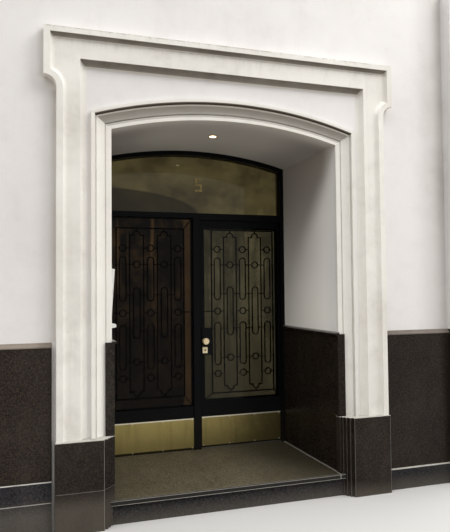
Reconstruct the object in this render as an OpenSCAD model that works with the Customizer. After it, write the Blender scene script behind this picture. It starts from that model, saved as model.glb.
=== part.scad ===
/* [Opening] */
// Width of the arched opening between the plaster reveals
opening_w = 1900; // [1700:10:2100]
// Height of the springing corner above the porch floor
spring_z = 2762; // [2650:2:2900]
// Rise of the segmental arch above its springing corners
arch_rise = 130; // [90:5:220]
// Distance from the wall face to the front of the door frame
frame_y = 1130; // [800:2:1300]

/* [Wall] */
// Distance from the middle of the opening to the pier at the right end
pier_x = 2030; // [1800:5:2300]
// Width of that pier, and of as much plain wall at the left end
pier_w = 110; // [60:5:300]
// Reach of the pier in front of the wall face
pier_relief = 125; // [60:5:200]
// Height of the wall above the surround
wall_over_h = 741; // [300:1:1000]
// Height of the porch floor above the lowest pavement
floor_h = 180; // [140:5:260]
// Thickness of the front wall
wall_t = 350; // [250:10:450]
// Thickness of the side walls of the porch
porch_wall_t = 150; // [100:5:200]
// Height of masonry above the crown of the vault
vault_t = 170; // [120:10:260]
// Distance from the wall face to the back of the porch
porch_back_y = 1330; // [1250:5:1500]

/* [Surround] */
// Distance from the edge of the opening to the outer edge of the pilasters
surround_w = 406; // [380:2:460]
// Height of the outer edge of the surround above the crown of the arch
surround_over_h = 567; // [500:1:700]
// Width of each ear beyond the pilaster, also the radius of its notch
ear_w = 90; // [60:5:120]
// Height of the ears from their underside to the top of the surround
ear_h = 357; // [300:1:420]
// Width of the raised outer fillet at the sides
fillet_w = 45; // [30:1:60]
// Width of the raised outer fillet along the top
fillet_top_w = 42; // [30:1:60]
// Relief of the fillet over the band, also the radius of the cove between them
fillet_relief = 35; // [20:1:45]
// Width of the pilasters from their outer edge to the sunk field
pilaster_w = 170; // [150:1:200]
// Height of the lintel of the surround from its top to the sunk field
lintel_h = 212; // [180:1:260]
// Relief of the band over the wall, also the radius of the cove beside the field
band_relief = 50; // [30:1:60]
// Thickness of the thin edge of that cove
cove_lip = 2; // [1:0.5:4]

/* [Architrave] */
// Width of the moulding round the opening
arch_w = 155; // [130:1:170]
// Width of its outer ridge
ridge_w = 28; // [15:1:35]
// Relief of the ridge over the wall
ridge_relief = 25; // [12:1:32]
// Width of the quirk between the ridge and the splay
quirk_w = 12; // [8:1:20]
// Depth of the quirk behind the wall face
quirk_y = 1; // [0:1:10]
// Width of the plain inner fillet beside the opening
inner_fillet_w = 40; // [30:1:50]
// Depth of the inner fillet behind the wall face
inner_fillet_y = 25; // [20:1:40]
// Width and depth of the groove outside the inner fillet
groove_w = 10; // [6:1:14]
// Depth of that groove
groove_d = 8; // [4:1:14]
// Radius of the hollow of the splay
splay_r = 110; // [90:5:300]
// Depth of the rebate that the moulding is bedded in
rebate_d = 60; // [50:2:80]

/* [Granite] */
// Top of the plinth blocks under the pilasters
plinth_top = 465; // [380:5:520]
// Reach of the plinth blocks in front of the wall face
plinth_relief = 96; // [90:2:130]
// Set back of each step of the plinth blocks towards the opening
plinth_step = 26; // [20:1:29]
// Reach of the plinth blocks beside the pilasters
plinth_side = 9; // [4:1:20]
// Top of the outer dado
dado_top = 1133; // [1050:1:1200]
// Thickness of the outer dado
dado_t = 30; // [15:1:35]
// Height of the weathered ledge over the outer dado
ledge_h = 36; // [24:1:70]
// Bare strip of wall between the left plinth block and the left dado
left_strip_w = 20; // [5:1:40]
// Top of the base course left of the entrance
base_top_left = 190; // [120:5:260]
// Top of the base course right of the entrance
base_top_right = -7; // [-60:1:90]
// Thickness of the base courses
base_t = 45; // [32:1:60]
// Height of the plain part of the dado on the porch reveals
reveal_top = 1138; // [1100:2:1200]
// Thickness of the dado on the porch reveals
reveal_t = 17; // [12:1:25]
// Reach of its cap beyond the dado face
cap_reach = 22; // [14:1:30]
// Front of its return over the inner fillet, behind the wall face
return_y = 7; // [2:1:14]
// Thickness of the paving slab of the porch
paving_t = 38; // [25:1:50]
// Reach of the slab in front of the wall face
slab_reach = 30; // [21:1:50]
// Set back of the riser under the nosing
nosing = 20; // [11:1:28]

/* [Door frame] */
// Visible width of the jambs
jamb_w = 38; // [34:1:45]
// Depth of the door frame
frame_d = 110; // [100:2:130]
// Depth of the stop on its front
stop_d = 38; // [30:1:44]
// Reach of the stop beyond the rest of the frame
stop_w = 13; // [11:1:18]
// Thickness of the arched head
head_t = 40; // [34:1:54]
// Height of the underside of the transom bar
transom_z = 2236; // [2150:2:2320]
// Height of the transom bar
transom_h = 49; // [40:1:60]
// Thickness of the glass
glass_t = 6; // [5:1:10]
// Distance from the middle of the opening to the left edge of the house number
number_x = 20; // [-600:10:600]
// Height of the foot of the house number, as a share of the height of the fanlight
number_share = 0.38; // [0.1:0.01:0.6]
// Height of the digits of the house number
number_h = 130; // [100:5:220]

/* [Side panel] */
// Left edge of the fixed post between the side panel and the door, from the middle of the opening
post_x = -12; // [-60:1:20]
// Visible width of that post
post_w = 71; // [55:1:90]
// Set back of the side panel behind the front of the frame
panel_set = 15; // [8:1:22]
// Top of the foot rail of the side panel
panel_foot = 413; // [390:1:450]
// Width of clear glass between the side panel's grille and the post
panel_margin = 81; // [60:1:100]

/* [Door leaf] */
// Thickness of the leaf frame
leaf_t = 50; // [44:1:56]
// Clearance at the upright edges of the leaf
side_gap = 5; // [5:0.5:7]
// Clearance under the leaf and above it
end_gap = 8; // [6:0.5:12]
// Clear distance from the stop to the leaf face
stop_gap = 7; // [7:0.5:10]
// Width of the lock stile of the leaf
lock_stile_w = 50; // [44:1:60]
// Width of the hinge stile of the leaf
hinge_stile_w = 30; // [26:1:60]
// Width of clear glass between the lock stile and the grille
door_margin = 86; // [70:1:100]
// Height of the foot rail of the leaf
foot_rail_h = 442; // [430:1:470]
// Height of the top rail of the leaf
top_rail_h = 76; // [60:1:90]
// Top of the kick plates above the porch floor
kick_top = 300; // [240:1:340]
// Thickness of the kick plates
kick_t = 3; // [2:0.5:3]

/* [Grille] */
// Width of clear glass between the grille and the hinge stile
hinge_margin = 38; // [30:1:60]
// Height of clear glass under the grille of the leaf
foot_margin = 62; // [55:1:80]
// Height of clear glass over the grille of the leaf
top_margin = 18; // [16:1:40]
// Width of the grille bars
bar_w = 10; // [8:1:12]
// Depth of the grille bars
bar_d = 12; // [8:1:14]
// Width of the border of the grille
border_w = 12; // [10:1:16]
// Outer diameter of the rings and width of the ovals
ring_d = 72; // [60:1:80]

/* [Fittings] */
// Width of the lock case
case_w = 94; // [80:1:100]
// Depth of the lock case
case_t = 16; // [12:1:22]
// Diameter of the door knob
knob_d = 66; // [50:1:68]
// Height of the knob above the porch floor
knob_z = 1036; // [1000:1:1080]
// Distance from the knob down to the keyhole block
key_drop = 87; // [75:1:95]
// Height of the lock case above and below its middle
case_half_h = 132; // [125:1:160]
// Diameter of the hinge pins
pin_d = 10; // [8:1:12]
// Length of each hinge
hinge_h = 130; // [100:5:160]
// Height of the lowest edge of the box on the left reveal
box_z = 1255; // [1200:5:1400]
// Height of that box
box_h = 451; // [380:1:520]
// Diameter of the ceiling light
light_d = 84; // [60:2:110]

/* [Hidden] */
$fn = 96;
plaster = "whitesmoke";
granite = [0.16, 0.14, 0.13];
steel = [0.07, 0.07, 0.08];
brass = [0.78, 0.66, 0.36];
tint = [0.30, 0.27, 0.22, 0.6];
open_half = opening_w / 2;
wall_half = pier_x + pier_w;
// The arch is a circle through both springing corners and the crown
crown_z = spring_z + arch_rise;
arch_r = (open_half * open_half + arch_rise * arch_rise) / (2 * arch_rise);
arch_z = crown_z - arch_r;
base_z = -floor_h;
// Middle of the whole object from front to back
mid_y = (porch_back_y - max(plinth_relief, pier_relief)) / 2;
surround_y = -band_relief - fillet_relief;
surround_half = open_half + surround_w;
surround_top = crown_z + surround_over_h;
band_half = surround_half - pilaster_w;
band_top = surround_top - lintel_h;
ear_z = surround_top - ear_h;
wall_top = surround_top + wall_over_h;
ear_half = surround_half + ear_w;
notch_z = ear_z - ear_w;
reveal_x = open_half - reveal_t;
plinth_half = surround_half + plinth_side;
// Door frame, side panel and leaf
stop_x = open_half - jamb_w;
rebate_x = stop_x + stop_w;
post_x1 = post_x + post_w;
post_web_x = post_x1 - stop_w;
frame_back = frame_y + frame_d;
stop_back = frame_y + stop_d;
panel_y = frame_y + panel_set;
leaf_y = stop_back + stop_gap;
leaf_back = leaf_y + leaf_t;
leaf_x0 = post_web_x + side_gap;
leaf_x1 = rebate_x - side_gap;
leaf_top = transom_z - end_gap;
glass_foot = end_gap + foot_rail_h;
glass_top = leaf_top - top_rail_h;
glass_x0 = leaf_x0 + lock_stile_w;
glass_x1 = leaf_x1 - hinge_stile_w;
bead = 14;
bar_set = 4;
grille_w = glass_x1 - glass_x0 - door_margin - hinge_margin;
column_pitch = grille_w / 5;
grille_h = glass_top - glass_foot - top_margin - foot_margin;
grille_z = glass_foot + foot_margin;
door_grille_x = glass_x0 + door_margin + grille_w / 2;
panel_grille_x = post_x - panel_margin - grille_w / 2;
door_glass_y = leaf_y + 5;
// Hinges
knuckle_r = pin_d / 2 + 4;
pin_x = leaf_x1 + 2;
pin_y = frame_back + knuckle_r + 5;
hinge_zs = [250, 1120, 1990];
hinge_gap_z = 0.5;
pin_play = 0.06;
// Lock
case_x = glass_x0 + 30;
case_y = leaf_y - case_t;
case_z = knob_z - 3;
lock_x = case_x - 26;
key_z = knob_z - key_drop;

// Moves everything from the wall face and the porch floor to the middle of the footprint on the ground
module place() {
    translate([0, -mid_y, floor_h]) children();
}

// Keeps one side: -1 is left, 1 is right
module side(s) {
    if (s < 0) {
        mirror([1, 0, 0]) children();
    } else {
        children();
    }
}

// A box given by its lowest and highest corners
module block(low, high) {
    translate(low) cube(high - low);
}

// A disc about the centre of the arch, lying in the plane of the facade
module arch_disc(radius, y0, y1) {
    translate([0, y1, arch_z]) rotate([90, 0, 0]) cylinder(h = y1 - y0, r = radius, $fn = 360);
}

// Front wall
module wall_pier() {
    translate([0, 0, base_z]) linear_extrude(spring_z - base_z) polygon([
        [open_half, rebate_d], [open_half + arch_w, rebate_d], [open_half + arch_w, 0],
        [wall_half, 0], [wall_half, wall_t], [open_half, wall_t]]);
}

module left_wall() {
    color(plaster) place() side(-1) wall_pier();
}

module right_wall() {
    color(plaster) place() wall_pier();
}

module wall_head() {
    half = open_half + arch_w;
    color(plaster) place() difference() {
        block([-wall_half, 0, spring_z], [wall_half, wall_t, wall_top]);
        arch_disc(arch_r, -1, wall_t + 1);
        intersection() {
            arch_disc(arch_r + arch_w, -1, rebate_d);
            block([-half, -2, spring_z - 1], [half, rebate_d + 1, wall_top]);
        }
    }
}

// Pier at the right end of the wall, cut off where the entrance's own wall ends
module right_pier() {
    color(plaster) place() block([pier_x, -pier_relief, dado_top + ledge_h], [wall_half, 0, wall_top]);
}

module right_pier_base() {
    color(granite) place() block([pier_x, -pier_relief, base_z], [wall_half, 0, dado_top + ledge_h]);
}

// Porch behind the wall
module porch_wall() {
    block([open_half, wall_t, base_z], [open_half + porch_wall_t, porch_back_y, spring_z]);
}

module left_porch_wall() {
    color(plaster) place() side(-1) porch_wall();
}

module right_porch_wall() {
    color(plaster) place() porch_wall();
}

module porch_vault() {
    half = open_half + porch_wall_t;
    color(plaster) place() difference() {
        block([-half, wall_t, spring_z], [half, porch_back_y, crown_z + vault_t]);
        arch_disc(arch_r, wall_t - 1, porch_back_y + 1);
        translate([light_x, light_y, crown_z - 20]) cylinder(h = 20 + light_h, d = light_d - 14);
    }
}

// Pilaster of the surround in plan: cove, band, cove and fillet
module pilaster_plan() {
    x0 = band_half - band_relief;
    x1 = surround_half - fillet_w;
    x2 = x1 - fillet_relief;
    difference() {
        polygon([[x0, 0], [x0, -band_relief], [x2, -band_relief], [x2, surround_y],
            [surround_half, surround_y], [surround_half, 0]]);
        translate([x0, -band_relief - cove_lip]) circle(r = band_relief);
        translate([x2, surround_y]) circle(r = fillet_relief);
    }
}

module pilaster() {
    translate([0, 0, plinth_top]) linear_extrude(notch_z - plinth_top) pilaster_plan();
}

module left_pilaster() {
    color(plaster) place() side(-1) pilaster();
}

module right_pilaster() {
    color(plaster) place() pilaster();
}

// A hollow from the front back to depth y, as wide as half and as high as top, with round edges of radius r
module coved_hollow(half, top, y, r, lip) {
    front = surround_y - 3 * band_relief;
    low = notch_z - 5;
    intersection() {
        translate([0, 0, low]) linear_extrude(top + r + 5 - low) {
            translate([-half, front]) square([2 * half, y - front]);
            for (s = [-1, 1]) {
                translate([s * half, y - r - lip]) circle(r = r);
            }
        }
        translate([-half - r - 5, 0, 0]) rotate([90, 0, 90]) linear_extrude(2 * (half + r + 5)) {
            translate([front, low]) square([y - front, top - low]);
            translate([y - r - lip, top]) circle(r = r);
            translate([y - 2 * r - lip, low]) square([2 * r, top - low]);
        }
    }
}

// The outer moulding as it turns round the notch under an ear
module notch_moulding() {
    r0 = ear_w + fillet_w + fillet_relief;
    rotate([90, 0, 0]) rotate_extrude($fn = 180) difference() {
        square([r0, -surround_y]);
        translate([r0, -surround_y]) circle(r = fillet_relief);
    }
}

module eared_head() {
    half = ear_half - fillet_w - fillet_relief;
    top = surround_top - fillet_top_w - fillet_relief;
    color(plaster) place() difference() {
        block([-ear_half, surround_y, notch_z], [ear_half, 0, surround_top]);
        // Room under the ears
        for (s = [-1, 1]) {
            translate([s * ear_half, 1, notch_z]) rotate([90, 0, 0]) cylinder(h = 2 - surround_y, r = ear_w, $fn = 180);
        }
        // Hollow inside the fillet, less the mouldings round the notches
        difference() {
            coved_hollow(half, top, -band_relief, fillet_relief, 0);
            for (s = [-1, 1]) {
                translate([s * ear_half, 0, notch_z]) notch_moulding();
            }
        }
        // Sunk field inside the band
        coved_hollow(band_half - band_relief, band_top - band_relief, 0, band_relief, cove_lip);
        block([band_relief - band_half, -band_relief, notch_z - 1],
            [band_half - band_relief, 1, band_top - band_relief]);
    }
}

// Architrave from the opening outwards: fillet, groove, hollow splay, quirk and ridge
splay_x0 = inner_fillet_w + groove_w;
splay_y0 = inner_fillet_y - 2;
splay_x1 = arch_w - ridge_w - quirk_w;
splay_y1 = quirk_y - groove_d;
splay_len = sqrt(pow(splay_x1 - splay_x0, 2) + pow(splay_y0 - splay_y1, 2));
splay_h = sqrt(pow(splay_r, 2) - pow(splay_len / 2, 2));

module architrave_section() {
    difference() {
        polygon([
            [0, inner_fillet_y], [inner_fillet_w, inner_fillet_y], [inner_fillet_w, inner_fillet_y + groove_d],
            [splay_x0, inner_fillet_y + groove_d], [splay_x0, splay_y0], [splay_x1, splay_y1], [splay_x1, quirk_y],
            [arch_w - ridge_w, quirk_y], [arch_w - ridge_w, -ridge_relief], [arch_w, -ridge_relief],
            [arch_w, rebate_d], [0, rebate_d]]);
        intersection() {
            translate([
                (splay_x0 + splay_x1) / 2 + splay_h * (splay_y1 - splay_y0) / splay_len,
                (splay_y0 + splay_y1) / 2 - splay_h * (splay_x1 - splay_x0) / splay_len])
                circle(r = splay_r, $fn = 180);
            translate([splay_x0, splay_y1 - 1]) square([splay_x1 - splay_x0, splay_y0 - splay_y1 + 1]);
        }
    }
}

// Rise of the mitre from the springing corner to the corner of the ridge
mitre_rise = arch_z + sqrt(pow(arch_r + arch_w, 2) - pow(open_half + arch_w, 2)) - spring_z;

// Everything above the mitre lines on both sides, in the plane of the facade
module above_mitre() {
    x1 = open_half + 2 * arch_w;
    z1 = spring_z + 2 * mitre_rise;
    translate([0, rebate_d + 1, 0]) rotate([90, 0, 0]) linear_extrude(rebate_d + ridge_relief + 2) polygon([
        [-x1, z1], [-open_half, spring_z], [-open_half + arch_w, spring_z - mitre_rise],
        [open_half - arch_w, spring_z - mitre_rise], [open_half, spring_z], [x1, z1],
        [x1, z1 + 3 * arch_w], [-x1, z1 + 3 * arch_w]]);
}

module architrave_leg() {
    difference() {
        translate([open_half, 0, plinth_top]) linear_extrude(spring_z + mitre_rise + 5 - plinth_top)
            architrave_section();
        above_mitre();
    }
}

module left_architrave() {
    color(plaster) place() side(-1) architrave_leg();
}

module right_architrave() {
    color(plaster) place() architrave_leg();
}

module arched_architrave() {
    color(plaster) place() intersection() {
        translate([0, 0, arch_z]) rotate([90, 0, 0]) rotate_extrude($fn = 360)
            translate([arch_r, 0]) mirror([0, 1]) architrave_section();
        above_mitre();
    }
}

// Granite outside
module outer_dado(x0, x1, base_top) {
    block([x0, -dado_t, base_top], [x1, 0, dado_top]);
}

module left_dado() {
    color(granite) place() side(-1) outer_dado(plinth_half + left_strip_w, wall_half, base_top_left);
}

module right_dado() {
    color(granite) place() outer_dado(plinth_half, pier_x, base_top_right);
}

// Ledge over the dado, weathered back to the wall
module dado_ledge(x0, x1) {
    translate([x0, 0, dado_top]) rotate([90, 0, 90]) linear_extrude(x1 - x0)
        polygon([[0, 0], [-dado_t - 5, 0], [-dado_t - 5, 8], [-5, ledge_h], [0, ledge_h]]);
}

module left_dado_ledge() {
    color("lightgray") place() side(-1) dado_ledge(plinth_half + left_strip_w, wall_half);
}

module right_dado_ledge() {
    color("lightgray") place() dado_ledge(plinth_half, pier_x);
}

module base_course(x0, x1, top) {
    translate([x0, 0, 0]) rotate([90, 0, 90]) linear_extrude(x1 - x0)
        polygon([[0, base_z], [-base_t, base_z], [-base_t, top - 8], [-base_t + 8, top], [0, top]]);
}

module left_base_course() {
    color(granite) place() side(-1) base_course(plinth_half + left_strip_w, wall_half, base_top_left);
}

module right_base_course() {
    color(granite) place() base_course(plinth_half, pier_x, base_top_right);
}

// Corners of the steps of the plinth blocks, from the main face inwards
plinth_x = [for (w = [85, 58, 38, 20]) reveal_x + w * arch_w / 155];
plinth_ys = [for (i = [1 : 3]) i * plinth_step - plinth_relief];

// Plinth block in plan, stepping back to the opening like the mouldings above it
module plinth_plan() {
    polygon([
        [plinth_half, 0], [plinth_half, -plinth_relief], [plinth_x[0], -plinth_relief],
        [plinth_x[0], plinth_ys[0]], [plinth_x[1], plinth_ys[0]], [plinth_x[1], plinth_ys[1]],
        [plinth_x[2], plinth_ys[1]], [plinth_x[2], plinth_ys[2]], [plinth_x[3], plinth_ys[2]],
        [plinth_x[3], 0], [reveal_x, 0], [reveal_x, rebate_d],
        [open_half + arch_w, rebate_d], [open_half + arch_w, 0]]);
}

module plinth_block() {
    translate([0, 0, base_z]) linear_extrude(plinth_top - base_z) plinth_plan();
}

module left_plinth_block() {
    color(granite) place() side(-1) plinth_block();
}

module right_plinth_block() {
    color(granite) place() plinth_block();
}

// Dado of the reveals with its cap and its return over the inner fillet
module reveal_dado() {
    cap_x = reveal_x - cap_reach;
    block([reveal_x, rebate_d, 0], [open_half, frame_y, reveal_top]);
    translate([0, 0, plinth_top]) linear_extrude(reveal_top - plinth_top) polygon([
        [reveal_x, return_y], [open_half + splay_x0, return_y], [open_half + splay_x0, inner_fillet_y],
        [open_half, inner_fillet_y], [open_half, rebate_d], [reveal_x, rebate_d]]);
    translate([0, frame_y, 0]) rotate([90, 0, 0]) linear_extrude(frame_y - return_y) polygon([
        [open_half, reveal_top], [reveal_x, reveal_top], [cap_x, reveal_top + 10], [cap_x, reveal_top + 18],
        [open_half, reveal_top + 32]]);
    block([open_half, return_y, reveal_top], [open_half + splay_x0, inner_fillet_y, reveal_top + 14]);
}

module left_reveal_dado() {
    color(granite) place() side(-1) reveal_dado();
}

module right_reveal_dado() {
    color(granite) place() reveal_dado();
}

// Porch floor in plan, notched round the plinth blocks
module floor_plan(front) {
    edge = [
        [plinth_x[2], front], [plinth_x[2], plinth_ys[2]], [plinth_x[3], plinth_ys[2]], [plinth_x[3], 0],
        [reveal_x, 0], [reveal_x, rebate_d], [open_half, rebate_d], [open_half, porch_back_y]];
    polygon(concat(edge, [for (i = [len(edge) - 1 : -1 : 0]) [-edge[i][0], edge[i][1]]]));
}

module porch_paving() {
    color(granite) place() translate([0, 0, -paving_t]) linear_extrude(paving_t) floor_plan(-slab_reach);
}

module porch_riser() {
    color(granite) place() translate([0, 0, base_z]) linear_extrude(-paving_t - base_z) intersection() {
        floor_plan(-slab_reach);
        translate([-open_half - 30, nosing - slab_reach]) square([2 * open_half + 60, porch_back_y + slab_reach]);
    }
}

// Door frame
module jamb() {
    intersection() {
        linear_extrude(crown_z) polygon([
            [open_half, frame_y], [open_half, frame_back], [rebate_x, frame_back],
            [rebate_x, stop_back], [stop_x, stop_back], [stop_x, frame_y]]);
        arch_disc(arch_r - head_t, frame_y - 1, frame_back + 1);
    }
}

module left_jamb() {
    color(steel) place() side(-1) jamb();
}

module right_jamb() {
    color(steel) place() jamb();
}

module arched_door_head() {
    color(steel) place() intersection() {
        difference() {
            arch_disc(arch_r, frame_y, frame_back);
            arch_disc(arch_r - head_t, frame_y - 1, frame_back + 1);
        }
        block([-open_half, frame_y, spring_z - 2 * head_t], [open_half, frame_back, crown_z]);
    }
}

module transom_bar() {
    color(steel) place() {
        translate([0, 0, transom_z]) linear_extrude(transom_h) polygon([
            [-stop_x, frame_y], [stop_x, frame_y], [stop_x, stop_back], [rebate_x, stop_back],
            [rebate_x, frame_back], [-rebate_x, frame_back], [-rebate_x, stop_back], [-stop_x, stop_back]]);
        block([post_x1, frame_y, transom_z - stop_w], [stop_x, stop_back, transom_z]);
    }
}

// Fixed post with the stop that the door closes against
module door_post() {
    color(steel) place() linear_extrude(transom_z) polygon([
        [post_x, frame_y + 3], [post_x + 3, frame_y], [post_x1 - 3, frame_y], [post_x1, frame_y + 3],
        [post_x1, stop_back], [post_web_x, stop_back], [post_web_x, frame_back], [post_x, frame_back]]);
}

// Fanlight
fan_y = frame_y + 30;
number_z = transom_z + transom_h + number_share * (crown_z - head_t - transom_z - transom_h);

module fanlight_glass() {
    color(tint) place() intersection() {
        arch_disc(arch_r - head_t, fan_y, fan_y + glass_t);
        block([-stop_x, fan_y, transom_z + transom_h], [stop_x, fan_y + glass_t, crown_z]);
    }
}

// A plain digit one stroke wide, from the seven strokes of a display
module digit(strokes) {
    h = number_h;
    w = 0.52 * h;
    t = 0.14 * h;
    if (strokes[0]) translate([0, h - t]) square([w, t]);
    if (strokes[1]) translate([0, h / 2]) square([t, h / 2]);
    if (strokes[2]) translate([w - t, h / 2]) square([t, h / 2]);
    if (strokes[3]) translate([0, (h - t) / 2]) square([w, t]);
    if (strokes[4]) square([t, h / 2]);
    if (strokes[5]) translate([w - t, 0]) square([t, h / 2]);
    if (strokes[6]) square([w, t]);
}

// The number 5, a stand-in for the real one
module house_number() {
    color("whitesmoke") place() translate([number_x, fan_y, number_z]) rotate([90, 0, 0])
        linear_extrude(3) digit([true, true, false, true, false, true, true]);
}

// Side panel
module panel_foot_rail() {
    color(steel) place() block([-stop_x, panel_y, 0], [post_x, frame_back - 20, panel_foot]);
}

// Sheet of glass between two corners seen from the front
module pane(x0, x1, z0, z1, y) {
    color(tint) place() block([x0, y, z0], [x1, y + glass_t, z1]);
}

module panel_glass() {
    pane(-stop_x, post_x, panel_foot, transom_z, panel_y);
}

module leaf_glass() {
    pane(glass_x0, glass_x1, glass_foot, glass_top, door_glass_y);
}

// Bead that holds the glass from inside
module glazing_bead(x0, x1, z0, z1, y0, y1) {
    color(steel) place() difference() {
        block([x0, y0, z0], [x1, y1, z1]);
        block([x0 + bead, y0 - 1, z0 + bead], [x1 - bead, y1 + 1, z1 - bead]);
    }
}

module panel_glazing_bead() {
    glazing_bead(-stop_x, post_x, panel_foot, transom_z, panel_y + glass_t, panel_y + glass_t + 22);
}

module leaf_glazing_bead() {
    glazing_bead(glass_x0, glass_x1, glass_foot, glass_top, door_glass_y + glass_t, leaf_back - 5);
}

// Door leaf
module leaf_frame() {
    color(steel) place() difference() {
        block([leaf_x0, leaf_y, end_gap], [leaf_x1, leaf_back, leaf_top]);
        block([glass_x0, leaf_y - 1, glass_foot], [glass_x1, leaf_back + 1, glass_top]);
    }
}

// Grille, drawn flat about its own centre, with heights from there
end_ring = grille_h / 2 - 196;
mid_ring = end_ring - 155;
oval_low = 1.5 * ring_d;
oval_high = end_ring - ring_d / 2 - 45;
mid_oval = mid_ring - ring_d / 2 - 181;
panel_half_h = grille_h / 2 - 73;
stud_z = mid_oval - ring_d;
cusp_r = 0.24 * column_pitch;
cusp_top = panel_half_h + 8 + cusp_r;
border_z = grille_h / 2 - border_w;

module ring(x, z) {
    translate([x, z]) difference() {
        circle(d = ring_d, $fn = 48);
        circle(d = ring_d - 2 * bar_w, $fn = 48);
    }
}

// An upright oval between two heights, drawn in by a distance
module oval_area(x, low, high, inset) {
    r = ring_d / 2 - inset;
    translate([x, low + ring_d / 2]) circle(r = r, $fn = 48);
    translate([x, high - ring_d / 2]) circle(r = r, $fn = 48);
    translate([x - r, low + ring_d / 2]) square([2 * r, high - low - ring_d]);
}

module oval(x, low, high) {
    difference() {
        oval_area(x, low, high, 0);
        oval_area(x, low, high, bar_w);
    }
}

// Tall panel round a column, with a cusp at each end
module cusped_area(x, grow) {
    half = column_pitch / 2 + grow;
    translate([x - half, -panel_half_h - grow]) square([2 * half, 2 * (panel_half_h + grow)]);
    for (s = [-1, 1]) {
        translate([x, s * (panel_half_h + 8)]) circle(r = cusp_r + grow, $fn = 48);
    }
}

// Short studs on both sides of a ring or oval
module studs(x, z) {
    for (s = [-1, 1]) {
        translate([x + s * (ring_d / 2 + column_pitch / 2) / 2, z])
            square([(column_pitch - ring_d) / 2 + bar_w, bar_w - 1], center = true);
    }
}

// A flat bar from one point to another
module flat_bar(p, q, w) {
    d = q - p;
    translate(p) rotate(atan2(d[1], d[0])) translate([0, -w / 2]) square([norm(d), w]);
}

module grille_pattern() {
    difference() {
        square([grille_w, grille_h], center = true);
        square([grille_w - 2 * border_w, grille_h - 2 * border_w], center = true);
    }
    for (i = [-1, 1]) {
        x = i * column_pitch;
        difference() {
            cusped_area(x, bar_w / 2);
            cusped_area(x, -bar_w / 2);
        }
        oval(x, -mid_oval, mid_oval);
        for (s = [-1, 1]) {
            ring(x, s * mid_ring);
            studs(x, s * mid_ring);
            studs(x, s * stud_z);
            translate([x, s * (cusp_top + border_z) / 2]) square([bar_w, border_z - cusp_top + bar_w], center = true);
        }
    }
    for (i = [-2, 0, 2]) {
        x = i * column_pitch;
        ring(x, 0);
        studs(x, 0);
        for (s = [-1, 1]) {
            oval(x, min(s * oval_low, s * oval_high), max(s * oval_low, s * oval_high));
            ring(x, s * end_ring);
            studs(x, s * end_ring);
            studs(x, s * mid_ring);
            studs(x, s * stud_z);
        }
    }
}

// Grille in its opening: stays at mid height and at the corners run out to the glazing bead
module grille(middle, x0, x1, z0, z1, y) {
    low = [x0 + bead - middle, z0 + bead - grille_z - grille_h / 2];
    high = [x1 - bead - middle, z1 - bead - grille_z - grille_h / 2];
    color(steel) place() translate([middle, y + bar_d, grille_z + grille_h / 2]) rotate([90, 0, 0])
        linear_extrude(bar_d) {
            grille_pattern();
            intersection() {
                translate(low) square(high - low);
                difference() {
                    union() {
                        flat_bar([low[0] - 9, 0], [high[0] + 9, 0], bar_w);
                        flat_bar(low, [border_w - grille_w, border_w - grille_h] / 2, bar_w - 2);
                        flat_bar(high, [grille_w - border_w, grille_h - border_w] / 2, bar_w - 2);
                        flat_bar([low[0], high[1]], [border_w - grille_w, grille_h - border_w] / 2, bar_w - 2);
                        flat_bar([high[0], low[1]], [grille_w - border_w, border_w - grille_h] / 2, bar_w - 2);
                    }
                    square([grille_w - 2 * border_w, grille_h - 2 * border_w], center = true);
                }
            }
        }
}

module panel_grille() {
    grille(panel_grille_x, -stop_x, post_x, panel_foot, transom_z, panel_y + glass_t + bar_set);
}

module leaf_grille() {
    grille(door_grille_x, glass_x0, glass_x1, glass_foot, glass_top, door_glass_y + glass_t + bar_set);
}

// Brass plates along the foot
module panel_kick_plate() {
    color(brass) place() block([-stop_x + 2, panel_y - kick_t, 4], [post_x - 2, panel_y, kick_top]);
}

module leaf_kick_plate() {
    color(brass) place() block([post_x1 + 18, leaf_y - kick_t, end_gap + 4], [stop_x - 7, leaf_y, kick_top]);
}

// Lower half of each hinge: knuckle, pin and plate on the door frame
module hinge_pins() {
    color(steel) place() for (z = hinge_zs) {
        translate([pin_x, pin_y, z]) cylinder(h = hinge_h / 2 - hinge_gap_z, r = knuckle_r);
        translate([pin_x, pin_y, z]) cylinder(h = hinge_h - 12, d = pin_d);
        block([pin_x + 3, frame_back, z], [open_half - 2, pin_y, z + hinge_h / 2 - hinge_gap_z]);
    }
}

// Upper half of each hinge: knuckle with its bore and strap on the leaf
module hinge_knuckles() {
    color(steel) place() for (z = hinge_zs) {
        difference() {
            union() {
                translate([pin_x, pin_y, z + hinge_h / 2]) cylinder(h = hinge_h / 2, r = knuckle_r);
                block([leaf_x1 - 18, leaf_back, z + hinge_h / 2], [leaf_x1 - 5, pin_y + 4, z + hinge_h]);
                block([leaf_x1 - 28, leaf_back, z + hinge_h / 2], [leaf_x1 - 5, leaf_back + 5, z + hinge_h]);
            }
            translate([pin_x, pin_y, z + hinge_h / 2 - 1]) cylinder(h = hinge_h / 2 - 9, d = pin_d + 2 * pin_play);
        }
    }
}

// Lock
module lock_case() {
    color(steel) place() block(
        [case_x - case_w / 2, case_y, case_z - case_half_h], [case_x + case_w / 2, leaf_y, case_z + case_half_h]);
}

module door_knob() {
    r = knob_d / 2;
    color(brass) place() translate([lock_x, case_y, knob_z]) rotate([90, 0, 0]) rotate_extrude() {
        square([24, 5]);
        square([13, 40]);
        intersection() {
            translate([0, 48]) circle(r = r);
            translate([0, 30]) square([r, 36]);
        }
    }
}

module keyhole_block() {
    color(brass) place() difference() {
        block([lock_x - 24, case_y - 22, key_z - 29], [lock_x + 24, case_y, key_z + 29]);
        translate([lock_x, case_y - 12, key_z]) rotate([90, 0, 0]) cylinder(h = 12, d = 15);
        block([lock_x - 4, case_y - 24, key_z - 17], [lock_x + 4, case_y - 12, key_z]);
    }
}

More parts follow.
